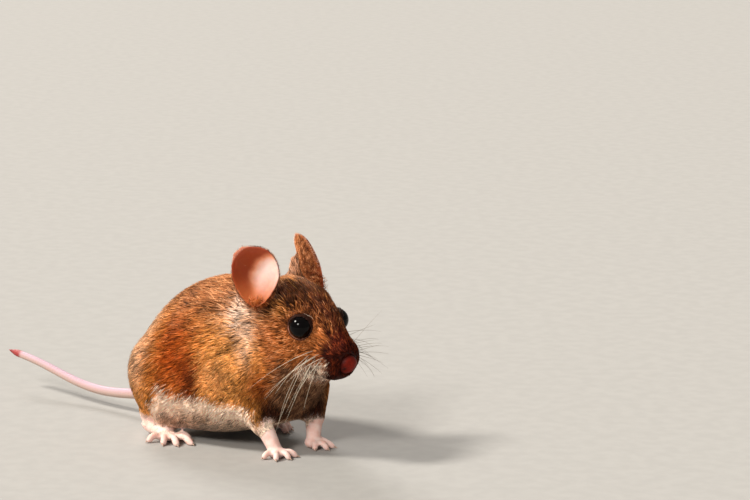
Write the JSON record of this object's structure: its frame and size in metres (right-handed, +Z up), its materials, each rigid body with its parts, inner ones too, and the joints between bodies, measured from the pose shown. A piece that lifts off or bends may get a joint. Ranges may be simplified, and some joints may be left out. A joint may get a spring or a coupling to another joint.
{
  "type": "field mouse",
  "caption": "Life-size field mouse standing still and looking ahead: furry rounded body, large cupped ears, bulging black eyes, bare pink feet, and a thin bare tail ending in a raw stump",
  "frame": {"origin": "on the floor, under the middle of the bounding box", "axes": "+X forward along the body towards the nose, +Y to the mouse's left, +Z up"},
  "size_m": [0.1148, 0.0356, 0.0469],
  "materials": {
    "fur": "matte, short dense fur",
    "bare_skin": "satin bare skin",
    "ear": "satin thin skin",
    "eye": "wet gloss",
    "nose": "moist satin",
    "tail_skin": "satin ringed skin",
    "raw_tip": "moist satin"
  },
  "bodies": {
    "root": {"head": "fur", "neck": "fur", "trunk": "fur", "foreleg_right": "fur", "foreleg_left": "fur", "hindleg_right": "fur", "hindleg_left": "fur", "forepaw_right": "bare_skin", "forepaw_left": "bare_skin", "hindfoot_right": "bare_skin", "hindfoot_left": "bare_skin", "ear_right": "ear", "ear_left": "ear", "eye_right": "eye", "eye_left": "eye", "nose": "nose", "tail_base": "tail_skin", "tail_middle": "tail_skin", "tail_tip": "raw_tip"}
  },
  "joints": []
}
